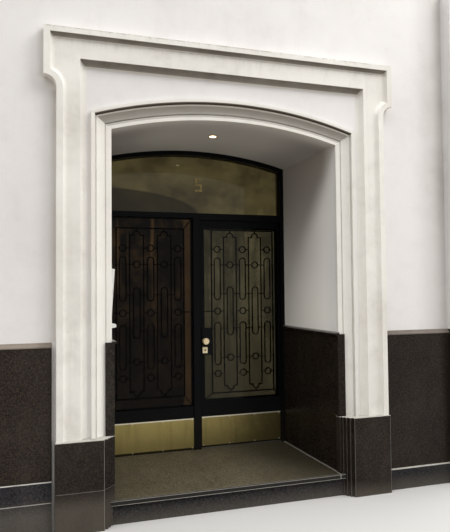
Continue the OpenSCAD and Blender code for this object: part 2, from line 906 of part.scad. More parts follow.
// Light in the crown of the vault
light_x = 6;
light_y = 514;
light_h = 45;

module ceiling_light() {
    color("gold") place() translate([light_x, light_y, crown_z - 6]) difference() {
        union() {
            cylinder(h = 6 + light_h - 1, d = light_d - 14);
            cylinder(h = 5, d = light_d);
        }
        translate([0, 0, -1]) cylinder(h = 14, d = light_d - 28);
    }
}

// White box with a sloping front on the left reveal, and the small lip under it
module intercom_box() {
    color("white") place() translate([-open_half, 60, 0]) rotate([90, 0, 0]) mirror([0, 0, 1]) linear_extrude(95)
        polygon([[0, box_z], [38, box_z + 7], [38, box_z + 29], [3, box_z + 35], [3, box_z + 75],
            [28, box_z + box_h - 6], [0, box_z + box_h]]);
}

left_wall();
right_wall();
wall_head();
right_pier();
right_pier_base();
left_porch_wall();
right_porch_wall();
porch_vault();
left_pilaster();
right_pilaster();
eared_head();
left_architrave();
right_architrave();
arched_architrave();
left_dado();
right_dado();
left_dado_ledge();
right_dado_ledge();
left_base_course();
right_base_course();
left_plinth_block();
right_plinth_block();
left_reveal_dado();
right_reveal_dado();
porch_paving();
porch_riser();
left_jamb();
right_jamb();
arched_door_head();
transom_bar();
door_post();
fanlight_glass();
house_number();
panel_foot_rail();
panel_glass();
panel_grille();
panel_glazing_bead();
panel_kick_plate();
ceiling_light();
intercom_box();
hinge_pins();
leaf_frame();
leaf_glass();
leaf_grille();
leaf_glazing_bead();
leaf_kick_plate();
hinge_knuckles();
lock_case();
door_knob();
keyhole_block();
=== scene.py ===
"""Finishes, small fittings, light and camera for the arched entrance with its glazed door."""

import math

import bpy
import numpy as np
from mathutils import Matrix, Vector


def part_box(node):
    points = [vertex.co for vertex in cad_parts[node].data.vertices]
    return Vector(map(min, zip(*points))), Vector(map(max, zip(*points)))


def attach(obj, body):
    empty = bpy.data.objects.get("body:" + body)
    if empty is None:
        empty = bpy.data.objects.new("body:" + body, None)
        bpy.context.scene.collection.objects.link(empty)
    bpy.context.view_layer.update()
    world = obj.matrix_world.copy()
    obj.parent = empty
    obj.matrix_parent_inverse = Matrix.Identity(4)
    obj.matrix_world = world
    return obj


bl_info = {
    "name": "Arched entrance",
    "version": (1, 0, 0),
    "blender": (4, 5, 0),
    "location": "View3D > Sidebar > Entrance",
    "description": "Finishes, fittings, light and camera for an arched entrance with a glazed door",
    "category": "Add Mesh",
}

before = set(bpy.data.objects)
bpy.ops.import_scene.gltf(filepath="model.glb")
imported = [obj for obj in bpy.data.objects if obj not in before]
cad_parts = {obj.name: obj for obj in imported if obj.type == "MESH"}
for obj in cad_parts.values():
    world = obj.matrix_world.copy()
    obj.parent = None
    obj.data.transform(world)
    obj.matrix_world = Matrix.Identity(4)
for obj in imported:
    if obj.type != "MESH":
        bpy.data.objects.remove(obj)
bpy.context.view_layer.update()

# Height of the porch floor over the ground and place of the facade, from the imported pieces
FLOOR_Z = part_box("porch_paving")[1].z
FACADE_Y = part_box("left_wall")[0].y

# The arch over the opening: half width, rise, radius, and the heights of its springing and its centre
ARCH_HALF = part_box("right_wall")[0].x
ARCH_RISE = 0.130
ARCH_R = (ARCH_HALF**2 + ARCH_RISE**2) / (2 * ARCH_RISE)
SPRING_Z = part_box("right_wall")[1].z
ARCH_Z = SPRING_Z + ARCH_RISE - ARCH_R

# The eared head: how far below its top the raised fillet and the band end, and how high the part of the cove
# under each is that gets painted shade
FILLET_DROP, FILLET_COVE = 0.042, 0.024
BAND_DROP, BAND_COVE = 0.212, 0.038

# Vertical joints and steps on the plinth blocks, by their distance from the middle of the opening
PLINTH_JOINTS = (1.022, 0.995, 0.975, 0.957)

# Screws of the kick plates: distance from the plate's edges, number in a row, radius and height
SCREW_INSET, SCREWS_IN_ROW, SCREW_RADIUS, SCREW_RISE = 0.016, 4, 0.0055, 0.002
KEYHOLE_RADIUS, KEYHOLE_RISE = 0.0085, 0.0006

# Place of the camera: across, before the facade and over the porch floor; its turns are in radians, and
# its sensor is in millimetres
EYE_X, EYE_BEFORE, EYE_OVER_FLOOR = -1.585, 4.574, 1.546
YAW, PITCH, ROLL = 0.3213, 0.0371, -0.0094
SENSOR_WIDTH = 36.0

# Half of the stage floor's side
STAGE_HALF = 30.0

# Sockets of the shader whose names hold capitals of their own
SOCKET_NAMES = {"ior": "IOR", "specular_ior_level": "Specular IOR Level"}


def linear(red, green, blue):
    """Colour given as it looks on a screen, 0 to 255, turned to the linear values that shading uses."""
    parts = [c / 255 for c in (red, green, blue)]
    return tuple(p / 12.92 if p <= 0.04045 else ((p + 0.055) / 1.055) ** 2.4 for p in parts)


def toned(colour, factors):
    """Colour times one number, or times a number for each of red, green and blue."""
    return tuple(float(c) for c in np.multiply(colour, factors))


# Paler paint for the inner faces of the porch: painted light
PORCH_PAINTED_LIGHT = linear(255, 254, 249)
DUST = linear(116, 110, 100)
MORTAR = linear(168, 165, 158)
OPEN_JOINT = linear(14, 12, 11)
BLACK = (0.0, 0.0, 0.0)


def plug(tree, socket, value):
    """Sets a socket from a plain value, or links it to another socket."""
    if isinstance(value, Number):
        value = value.socket
    if isinstance(value, bpy.types.NodeSocket):
        tree.links.new(value, socket)
    elif socket.type == "RGBA" and len(value) == 3:
        socket.default_value = (*value, 1.0)
    else:
        socket.default_value = value


def add_node(tree, kind, settings=None, values=None):
    """Any node: its settings are set first, then its sockets by name or place."""
    node = tree.nodes.new(kind)
    for key, value in (settings or {}).items():
        setattr(node, key, value)
    for key, value in (values or {}).items():
        plug(tree, node.inputs[key], value)
    return node


class Number:
    """A value socket that sums can be written on; each operation adds a Math node."""

    def __init__(self, tree, socket):
        self.tree, self.socket = tree, socket

    def _math(self, operation, *values):
        node = add_node(self.tree, "ShaderNodeMath", {"operation": operation}, dict(enumerate(values)))
        return Number(self.tree, node.outputs[0])

    def __add__(self, other):
        return self._math("ADD", self, other)

    __radd__ = __add__

    def __sub__(self, other):
        return self._math("SUBTRACT", self, other)

    def __rsub__(self, other):
        return self._math("SUBTRACT", other, self)

    def __mul__(self, other):
        return self._math("MULTIPLY", self, other)

    __rmul__ = __mul__

    def __truediv__(self, other):
        return self._math("DIVIDE", self, other)

    def __pow__(self, other):
        return self._math("POWER", self, other)

    def __abs__(self):
        return self._math("ABSOLUTE", self)

    def least(self, other):
        return self._math("MINIMUM", self, other)

    def most(self, other):
        return self._math("MAXIMUM", self, other)

    def step(self, low, high):
        """0 at low, 1 at high and a smooth change between them; low may be the larger."""
        rising = low < high
        node = add_node(
            self.tree,
            "ShaderNodeMapRange",
            {"interpolation_type": "SMOOTHSTEP"},
            {
                "Value": self,
                "From Min": min(low, high),
                "From Max": max(low, high),
                "To Min": 0.0 if rising else 1.0,
                "To Max": 1.0 if rising else 0.0,
            },
        )
        return Number(self.tree, node.outputs[0])

    def near(self, middle, width):
        """1 at middle, falling smoothly to 0 at the given distance."""
        return abs(self - middle).step(width, 0.0)

    def between(self, low, high, soft):
        """1 from low to high and 0 beyond, with edges that are soft by that much to both sides."""
        return self.step(low - soft, low + soft) * self.step(high + soft, high - soft)


class Finish:
    """A material in the making, on the object's own coordinates in metres."""

    def __init__(self, name):
        self.material = bpy.data.materials.new(name)
        self.material.use_nodes = True
        self.tree = self.material.node_tree
        self.tree.nodes.clear()
        self.point = self.node("ShaderNodeTexCoord").outputs["Object"]
        parts = self.node("ShaderNodeSeparateXYZ", values={"Vector": self.point})
        self.x, self.y, self.z = (Number(self.tree, parts.outputs[i]) for i in range(3))

    def node(self, kind, settings=None, values=None):
        return add_node(self.tree, kind, settings, values)

    def noise(self, scale, detail=3.0, roughness=0.55, stretch=(1.0, 1.0, 1.0), shift=(0.0, 0.0, 0.0)):
        """Noise from 0 to 1; a larger stretch along an axis makes the pattern finer along it."""
        mapping = self.node(
            "ShaderNodeMapping", values={"Vector": self.point, "Location": shift, "Scale": stretch}
        )
        node = self.node(
            "ShaderNodeTexNoise",
            values={"Vector": mapping.outputs[0], "Scale": scale, "Detail": detail, "Roughness": roughness},
        )
        return Number(self.tree, node.outputs["Fac"])

    def cells(self, scale):
        """Distance from the middles of small irregular cells."""
        node = self.node("ShaderNodeTexVoronoi", values={"Vector": self.point, "Scale": scale})
        return Number(self.tree, node.outputs["Distance"])

    def from_arch(self):
        """Distance from the centre line of the arch over the opening."""
        return (self.x**2.0 + (self.z - ARCH_Z) ** 2.0) ** 0.5

    def mix(self, mask, first, second):
        """Colour that goes from first to second as the mask goes from 0 to 1."""
        node = self.node(
            "ShaderNodeMix", {"data_type": "RGBA", "clamp_factor": True}, {0: mask, 6: first, 7: second}
        )
        return node.outputs[2]

    def bump(self, height, distance, strength, under=None):
        """Relief from a height, laid on top of the relief under it."""
        values = {"Height": height, "Distance": distance, "Strength": strength}
        if under is not None:
            values["Normal"] = under
        return self.node("ShaderNodeBump", values=values).outputs[0]

    def surface(self, **values):
        """The shader itself; a name such as base_color stands for the socket Base Color."""
        named = {SOCKET_NAMES.get(k, k.replace("_", " ").title()): v for k, v in values.items()}
        shader = self.node("ShaderNodeBsdfPrincipled", values=named)
        self.node("ShaderNodeOutputMaterial", values={"Surface": shader.outputs[0]})
        return self.material


def porch_painted_light_and_shade(f, base, colour, grey):
    """Painted light and shade on the inner faces of the porch.

    They are painted paler, as painted light. Above a slope that falls towards the back the walls get the
    painted shadow of the arch's head, and low down they stay pale; the vault is painted darker all over, as
    painted shade, most at its front and towards its left and right.
    """
    depth = f.y - FACADE_Y
    inner = abs(f.x).step(ARCH_HALF + 0.015, ARCH_HALF + 0.005)
    inner = inner * f.from_arch().step(ARCH_R + 0.015, ARCH_R + 0.005)
    porch = depth.step(0.02, 0.3) * inner
    # Painted light: the inner faces of the porch are paler
    base = f.mix(porch * 0.85, base, PORCH_PAINTED_LIGHT)
    # Painted shadow of the arch's head on the walls, above a slope that falls towards the back
    walls = (f.z - SPRING_Z + depth * 1.1).step(-0.28, 0.22) * f.z.step(1.75, 2.75) * 0.86
    # Painted shade on the vault: darker all over, most at its front and towards its left and right
    ceiling = depth.step(0.7, 0.25) * 0.16 + depth.step(0.28, 0.12) * 0.3
    ceiling = ceiling + abs(f.x).step(0.4, 0.85) * 0.35 + 0.44
    vault = f.z.step(SPRING_Z - 0.004, SPRING_Z + 0.002)
    painted_shade = f.mix(vault, grey, toned(colour, (0.50, 0.49, 0.475)))
    return f.mix((walls * (1.0 - vault) + ceiling * vault) * porch, base, painted_shade)


def white_render(
    name, colour, dirt, *, foot_z=None, edges=(), shadow_sides=(), corner_x=None, shaded_coves=(), shade_rings=(), inside=False
):
    """Painted render: soft blotches, grey runs, a fine sandy grain, dirt at the foot, and painted shade in
    coves.

    An edge is a height, its reach, its strength, the length of the runs below it and the half width that
    it has: a dark line lies there, partly dirt and partly painted shade, and dirty runs trail off below it.
    A side is a place, a low and a high height: a soft band of painted shade, a moulding's shadow, to the left
    of the place. The corner is the place of an inner corner that darkens towards it from its left, with dirt
    and painted shade. A hollow is a low and a high height, the half width at its low end and a strength: a
    level cove with mitred ends, filled with painted shade. A ring is a small and a large radius about the
    arch's centre and a strength: a band of painted shade. Inside says that the finish also covers the inner
    faces of the porch, with their painted light and shade.
    """
    f = Finish(name)
    blotch = f.noise(1.3, 5.0, 0.62)
    patch = f.noise(6.0, 4.0, 0.6, shift=(3.1, 0.4, 1.7))
    runs = f.noise(1.0, 4.0, 0.65, stretch=(15.0, 15.0, 0.9))
    speck = f.noise(48.0, 2.0, 0.7)
    mask = blotch.step(0.40, 0.75) * 0.34 + patch.step(0.45, 0.8) * 0.26 + runs.step(0.55, 0.85) * 0.22
    mask = (mask + speck.step(0.64, 0.78) * 0.14) * dirt
    aside = abs(f.x)
    front = (f.y - FACADE_Y).step(0.02, 0.004)
    if foot_z is not None:
        wavy = f.z + f.noise(9.0, 4.0, 0.6, shift=(1.0, 0.0, 0.0)) * 0.22
        mask = mask + wavy.step(foot_z + 0.36, foot_z + 0.09) * 0.30 * dirt
    # Dark lines at edges, partly dirt and partly painted shade, with dirty runs trailing off below them
    for edge_z, reach, amount, run, half in edges:
        within = aside.step(half, half - 0.03)
        broken = f.noise(11.0, 5.0, 0.7, shift=(0.0, 0.0, edge_z)).step(0.36, 0.62)
        line = f.z.near(edge_z, reach) * broken * within * front
        trail = (edge_z - f.z).step(run, 0.0) * (f.z - edge_z).step(reach, 0.0) * within
        drips = f.noise(1.0, 4.0, 0.7, stretch=(34.0, 34.0, 1.6), shift=(edge_z, 0.0, 0.0)).step(0.48, 0.72)
        mask = mask + line * amount + trail * drips * (amount * 0.5)
    # Painted shade: a soft band to the left of a moulding, where its shadow falls on the wall
    for edge_x, low, high in shadow_sides:
        left = edge_x - f.x
        side_shadow = left.step(0.062, 0.0) * left.step(-0.004, 0.0) * f.z.between(low, high, 0.02)
        mask = mask + side_shadow * (blotch * 0.3 + 0.34) * front
    # Darker towards an inner corner from its left, partly dirt and partly painted shade
    if corner_x is not None:
        right = f.x - corner_x
        mask = mask + right.step(-0.36, -0.02) * right.step(0.004, 0.0) * (blotch * 0.3 + 0.32) * front
    # The grey that the dirt, the dark edge lines and the painted shade beside mouldings and corners go towards
    grey = toned(colour, (0.50, 0.47, 0.44))
    base = f.mix(mask.least(0.92), colour, grey)
    if inside:
        base = porch_painted_light_and_shade(f, base, colour, grey)
    # Painted shade in the level coves and in the arch's bands, going towards a dark grey
    deep = []
    for low, high, half, amount in shaded_coves:
        cove = f.z.between(low, high, 0.0015) * (f.z + (half - low) - aside).step(-0.0015, 0.0015)
        deep.append(cove * (patch * 0.35 + (amount - 0.17)) * ((f.z - low) / (high - low) * 0.25 + 0.75))
    for low, high, amount in shade_rings:
        deep.append(f.from_arch().between(low, high, 0.001) * amount)
    if deep:
        most = deep[0]
        for other in deep[1:]:
            most = most.most(other)
        base = f.mix(most.least(0.97), base, toned(colour, (0.17, 0.150, 0.130)))
    grain = f.noise(420.0, 2.0, 0.6) * 0.35 + f.noise(90.0, 3.0, 0.6) * 0.5 + f.noise(12.0, 2.0) * 1.2
    return f.surface(
        base_color=base, roughness=0.86, normal=f.bump(grain, 0.0012, 0.8), specular_ior_level=0.3
    )


def dark_granite(
    name, dark, light, gloss, dust, *, joints=(), shine=0.12, rise=None, fleck=1.0, fine=1.0, walked=None
):
    """Polished granite: crystals of three sizes, clouds through the slab, pale joints and dust.

    A joint is an axis, a place, a half width and a strength: a pale mortar line across that axis, open and
    dark where the strength is below 0. Rise is the height of the ground that throws dust up. Fleck is the
    strength of the pale crystals and fine their fineness. Walked is the front edge of a floor: the floor
    darkens towards its right, and its front edge is dark.
    """
    f = Finish(name)
    flecks = f.noise(130.0 * fine, 4.0, 0.85)
    crystal = f.cells(150.0 * fine)
    grains = f.noise(62.0 * fine, 4.0, 0.8, shift=(0.3, 0.1, 0.7))
    mottle = f.noise(26.0 * fine, 3.0, 0.7, shift=(0.0, 2.1, 0.4))
    cloud = f.noise(5.0, 5.0, 0.7)
    rust = toned(light, [1.0 + (k - 1.0) * fleck for k in (2.5, 1.95, 1.6)])
    base = f.mix(cloud.step(0.3, 0.7) * 0.5 + mottle.step(0.40, 0.60) * 0.5, dark, light)
    base = f.mix(grains.step(0.51, 0.60) * 0.75, base, rust)
    base = f.mix(grains.step(0.48, 0.40) * 0.9, base, toned(dark, 0.25))
    base = f.mix(flecks.step(0.55, 0.66) * 0.8, base, toned(light, 1.0 + 3.2 * fleck))
    base = f.mix(crystal.step(0.45, 0.75) * 0.6, base, toned(dark, 0.3))
    dusty = f.noise(4.0, 5.0, 0.68, stretch=(1.0, 1.0, 0.6))
    mask = dusty.step(0.34, 0.8) * dust
    if rise is not None:
        mask = mask + (f.z + dusty * 0.1).step(rise + 0.16, rise) * 0.35
    base = f.mix(mask.least(0.9), base, DUST)
    if walked is not None:
        shade = (f.x + cloud * 0.3).step(0.25, 1.0) * 0.66
        base = f.mix(shade.least(0.8), base, toned(dark, 0.45))
        base = f.mix((f.y - walked).step(0.006, 0.002), base, linear(44, 43, 41))
    cut = None
    for axis, place, half, strength in joints:
        wander = f.noise(7.0, 3.0, 0.6, shift=(place, 0.0, 0.0)).step(0.25, 0.5) * 0.45 + 0.55
        line = {"x": f.x, "y": f.y, "z": f.z}[axis].near(place, half * 1.6).step(0.0, 0.6)
        line = line * abs(strength) * wander
        base = f.mix(line.least(1.0), base, MORTAR if strength > 0 else OPEN_JOINT)
        cut = line if cut is None else cut.most(line)
    rough = flecks * 0.16 + (gloss - 0.06) + mask * 0.35
    normal = f.bump(flecks, 0.0005, 0.35)
    if cut is not None:
        rough = rough + cut * 0.5
        normal = f.bump(1.0 - cut, 0.002, 0.8, under=normal)
    return f.surface(base_color=base, roughness=rough, normal=normal, specular_ior_level=shine)


def black_steel(name, colour):
    """Old black gloss paint on steel: brush marks, rubbed grey patches and dust low down."""
    f = Finish(name)
    wear = f.noise(30.0, 5.0, 0.7)
    dust = f.noise(8.0, 4.0, 0.6, stretch=(1.0, 1.0, 0.4)) * (f.z - FLOOR_Z).step(0.6, 0.0)
    base = f.mix(wear.step(0.60, 0.80) * 0.5, colour, (0.014, 0.013, 0.012))
    base = f.mix((dust * 0.35).least(0.5), base, (0.05, 0.042, 0.032))
    marks = f.noise(60.0, 3.0, 0.6, stretch=(1.0, 1.0, 0.08))
    rough = wear * 0.25 + 0.22 + dust * 0.3
    return f.surface(
        base_color=base, roughness=rough, normal=f.bump(marks, 0.0006, 0.5), specular_ior_level=0.05
    )


def glass_with_painted_reflections(name, deep, pale, *, reflection_streaks, low, high, tall, fine, bend, strip=None, patch=None):
    """Clear dark glass with painted reflections: its colour drifts in upright bands and a few smears.

    Streaks is the strength of the painted reflections' upright bands, low and high where in their noise they
    start and end, and tall and fine their noise's scale upright and across. Bend is the index of refraction.
    The strip is a low x, a high x and a strength: an upright band of painted reflection in the pale colour.
    The patch is the middle and the half sizes (x, z, half width, half height) of an oval that stays darker,
    a painted reflection.
    """
    f = Finish(name)
    # Painted reflections: upright bands and smears, stronger higher up, going towards the pale colour
    band = f.noise(1.0, 4.0, 0.6, stretch=(fine, fine, tall))
    reflection_smear = f.noise(5.0, 4.0, 0.65, shift=(2.0, 0.0, 0.3))
    rise = f.z.step(FLOOR_Z + 0.3, FLOOR_Z + 2.3) * 1.2 + 0.2
    painted_reflections = (band.step(low, high) * reflection_streaks + reflection_smear.step(0.42, 0.75) * 0.35) * rise
    base = f.mix(painted_reflections.least(1.0), deep, pale)
    # An upright band of painted reflection in the pale colour
    if strip is not None:
        strip_low, strip_high, strength = strip
        mask = f.x.between(strip_low, strip_high, 0.008) * (reflection_smear * 0.5 + (strength - 0.25))
        base = f.mix(mask, base, pale)
    # A darker oval, a painted reflection
    if patch is not None:
        middle_x, middle_z, half_x, half_z = patch
        far = (((f.x - middle_x) / half_x) ** 2.0 + ((f.z - middle_z) / half_z) ** 2.0) ** 0.5
        base = f.mix(far.step(1.03, 0.97) * 0.8, base, toned(deep, 0.35))
    wave = f.noise(3.0, 1.0, 0.5, stretch=(1.0, 1.0, 0.5))
    return f.surface(
        base_color=base, roughness=0.02, transmission_weight=1.0, ior=bend,
        normal=f.bump(wave, 0.001, 0.2), specular_ior_level=0.12,
    )


def worn_brass(name, bright, dull, *, fade=None, edge=None, roughness, metallic=0.75):
    """Brass: browned in blotches, with fine rolling lines, wipe marks and spots.

    The fade is an axis and the places where the browning starts and is full. The edge is the height of a
    sheet's top edge, which is a bright line; below it the sheet darkens slowly, and near its foot a thin
    near-black line is the painted shade of a gap.
    """
    f = Finish(name)
    blotch = f.noise(7.0, 5.0, 0.65)
    brown = (blotch - 0.5) * 0.8
    if fade is not None:
        axis, start, full = fade
        brown = brown + {"x": f.x, "z": f.z}[axis].step(start, full) * 0.85
    base = f.mix(brown.step(0.0, 1.0), bright, dull)
    lines = f.noise(1.0, 3.0, 0.6, stretch=(6.0, 6.0, 900.0))
    wipes = f.noise(1.0, 4.0, 0.6, stretch=(16.0, 16.0, 2.0))
    spots = f.noise(80.0, 3.0, 0.7)
    base = f.mix(wipes.step(0.45, 0.8) * 0.35, base, toned(dull, 0.5))
    base = f.mix(spots.step(0.62, 0.75) * 0.35, base, toned(dull, 0.35))
    if edge is not None:
        over = f.z - edge
        # A bright line along the sheet's top edge
        base = f.mix(over.step(-0.014, -0.006) * 0.9, base, linear(250, 244, 222))
        base = f.mix(over.step(-0.10, -0.27) * 0.3, base, dull)
        # Painted shade of a gap near the sheet's foot: a thin near-black line
        base = f.mix(over.step(-0.275, -0.282) * 0.95, base, toned(dull, 0.05))
    rough = lines * 0.1 + blotch * 0.18 + (roughness - 0.14)
    return f.surface(base_color=base, metallic=metallic, roughness=rough, normal=f.bump(lines, 0.0004, 0.3))


def white_plastic(name):
    """White plastic with a thin uneven film of dirt."""
    f = Finish(name)
    film = f.noise(14.0, 4.0, 0.6)
    base = f.mix(film.step(0.45, 0.8) * 0.5, linear(226, 226, 222), linear(176, 174, 166))
    return f.surface(base_color=base, roughness=film * 0.1 + 0.38, normal=f.bump(f.noise(300.0), 0.0004, 0.3))


def number_paint(name):
    """Old gold paint on glass, thin and brownish in places."""
    f = Finish(name)
    worn = f.noise(40.0, 4.0, 0.65)
    base = f.mix(worn.step(0.4, 0.7), linear(176, 158, 104), linear(130, 116, 74))
    return f.surface(base_color=base, roughness=0.55)


def lamp_face(name, middle, colour, strength):
    """The light in the vault: a warm glowing disc in a metal rim."""
    f = Finish(name)
    far = ((f.x - middle[0]) ** 2.0 + (f.y - middle[1]) ** 2.0) ** 0.5
    glow = far.step(0.032, 0.025)
    rim = f.mix(f.noise(60.0).step(0.4, 0.7), linear(190, 176, 150), linear(150, 140, 120))
    return f.surface(
        base_color=f.mix(glow, rim, colour), emission_color=f.mix(glow, BLACK, colour),
        emission_strength=strength, metallic=0.0, roughness=0.4,
    )


class EntranceColours(bpy.types.PropertyGroup):
    """Colours of the entrance."""

    wall: bpy.props.FloatVectorProperty(
        name="Wall", description="Colour of the wall render", subtype="COLOR", size=3,
        min=0.0, max=1.0, default=linear(232, 230, 229),
    )
    surround: bpy.props.FloatVectorProperty(
        name="Surround", description="Colour of the mouldings round the entrance", subtype="COLOR", size=3,
        min=0.0, max=1.0, default=linear(240, 238, 232),
    )
    granite: bpy.props.FloatVectorProperty(
        name="Granite", description="Main colour of the granite", subtype="COLOR", size=3,
        min=0.0, max=1.0, default=linear(43, 37, 32),
    )
    brass: bpy.props.FloatVectorProperty(
        name="Brass", description="Bright colour of the brass", subtype="COLOR", size=3,
        min=0.0, max=1.0, default=linear(172, 156, 97),
    )


class EntranceView(bpy.types.PropertyGroup):
    """Camera and light."""

    focal_length: bpy.props.FloatProperty(
        name="Focal length", description="Focal length for a 36 mm long side", default=41.2,
        min=10.0, max=200.0, unit="CAMERA",
    )
    floor_light: bpy.props.FloatVectorProperty(
        name="Floor light", description="Colour of the light that the floor throws back", subtype="COLOR",
        size=3, min=0.0, max=1.0, default=linear(120, 114, 107),
    )
    sky: bpy.props.FloatProperty(
        name="Sky", description="Strength of the light from high up", default=3.75, min=0.0, max=20.0,
    )
    key: bpy.props.FloatProperty(
        name="Key light", description="Strength of the large soft light from above", default=250.0,
        min=0.0, max=5000.0, unit="POWER",
    )


def paint(names, material):
    """Gives the CAD pieces of those names the material."""
    for name in names:
        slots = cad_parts[name].material_slots
        if len(slots):
            for s in slots:
                s.material = material
        else:
            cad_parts[name].data.materials.append(material)


def round_heads(name, places, radius, rise, ring=12):
    """Low round screw heads facing forwards, one at each place.

    Each head is a profile of four circles turned about its axis: rim at the surface, edge, shoulder and
    crown, with a single point on top and one at the back; the circles' points are radius times cosine and
    sine of equal steps of the turn.
    """
    turn = np.arange(ring) * (2 * np.pi / ring)
    profile = np.array([(1.0, 0.0), (1.0, 0.45), (0.72, 0.85), (0.3, 1.0)])
    circle = np.stack([np.cos(turn), np.zeros(ring), np.sin(turn)], axis=1)
    rows = profile[:, 0, None, None] * circle * radius + profile[:, 1, None, None] * (0.0, -rise, 0.0)
    head = np.concatenate([rows.reshape(-1, 3), [(0.0, -rise, 0.0)], [(0.0, 0.0, 0.0)]])
    points = np.array(places)[:, None, :] + head
    step = np.arange(ring)
    after = (step + 1) % ring
    row = np.arange(len(profile) - 1)[:, None] * ring
    quads = np.stack([row + step, row + after, row + ring + after, row + ring + step], axis=-1)
    last, top, back = (len(profile) - 1) * ring, len(head) - 2, len(head) - 1
    fans = np.stack(
        [
            np.stack([last + step, last + after, np.full(ring, top)], axis=-1),
            np.stack([after, step, np.full(ring, back)], axis=-1),
        ]
    )
    first = np.arange(len(places))[:, None, None] * len(head)
    faces = (quads.reshape(-1, 4) + first).reshape(-1, 4).tolist()
    faces += (fans.reshape(-1, 3) + first).reshape(-1, 3).tolist()
    mesh = bpy.data.meshes.new(name)
    mesh.from_pydata(points.reshape(-1, 3).tolist(), [], faces)
    mesh.validate()
    obj = bpy.data.objects.new(name, mesh)
    bpy.context.scene.collection.objects.link(obj)
    return obj


class ENTRANCE_OT_wall(bpy.types.Operator):
    """Render on the front wall, the pier, the porch walls and the vault"""

    bl_idname = "entrance.wall"
    bl_label = "Wall and vault"

    def execute(self, context):
        colour = tuple(context.scene.entrance_colours.wall)
        low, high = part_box("eared_head")
        ledge_top = FLOOR_Z + 1.17
        paint(
            ("left_wall", "right_wall", "wall_head", "left_porch_wall", "right_porch_wall", "porch_vault"),
            white_render(
                "wall_render", colour, 0.36, foot_z=ledge_top - 0.15,
                # A dark line just above the head: partly dirt and partly painted shade
                edges=((high.z + 0.005, 0.012, 0.8, 0.0, high.x),),
                # Painted shade to the left of the left pilaster and of the left ear; the pier's inner corner is
                # darker with dirt and painted shade
                shadow_sides=((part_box("left_pilaster")[0].x, ledge_top, low.z), (low.x, low.z + 0.09, high.z)),
                corner_x=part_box("right_pier")[0].x, inside=True,
            ),
        )
        paint(("right_pier",), white_render("pier_render", toned(colour, 0.78), 0.5))
        return {"FINISHED"}


class ENTRANCE_OT_surround(bpy.types.Operator):
    """Render on the eared surround and the architrave"""

    bl_idname = "entrance.surround"
    bl_label = "Surround"

    def execute(self, context):
        colour = tuple(context.scene.entrance_colours.surround)
        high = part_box("eared_head")[1]
        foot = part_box("left_plinth_block")[1].z
        fillet, band = high.z - FILLET_DROP, high.z - BAND_DROP
        # The lower cove is mitred at the pilasters, and the upper one in the ears
        inner_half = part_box("right_pilaster")[0].x
        paint(
            ("left_pilaster", "right_pilaster", "eared_head"),
            white_render(
                "surround_render", toned(colour, 0.96), 0.85, foot_z=foot - 0.14,
                # Dark lines along the head's top and below the fillet's cove: partly dirt and partly painted
                # shade
                edges=(
                    (high.z - 0.003, 0.010, 0.55, 0.03, high.x),
                    (fillet - 0.036, 0.008, 0.4, 0.09, high.x - 0.08),
                ),
                # The coves under the fillet and under the band are filled with painted shade
                shaded_coves=(
                    (fillet - FILLET_COVE, fillet, high.x - 0.069, 0.88),
                    (band - BAND_COVE, band, inner_half + 0.012, 0.9),
                ),
            ),
        )
        paint(("left_architrave",), white_render("left_architrave_render", colour, 0.45, foot_z=foot))
        # The right leg is a darker copy of the render, painted shade, and a dirtier one
        shaded = toned(colour, 0.88)
        paint(("right_architrave",), white_render("right_architrave_shaded_render", shaded, 0.7, foot_z=foot))
        # Members of the arched part that get painted shade: where each starts and ends outside the opening's
        # edge, and how dark
        shaded_members = (
            (0.025, 0.040, 0.38), (0.040, 0.050, 0.6), (0.050, 0.105, 0.55), (0.116, 0.133, 1.0),
            (0.133, 0.156, 0.12),
        )
        shade_rings = [(ARCH_R + start, ARCH_R + end, amount) for start, end, amount in shaded_members]
        paint(("arched_architrave",), white_render("arched_render", colour, 0.5, shade_rings=shade_rings))
        return {"FINISHED"}


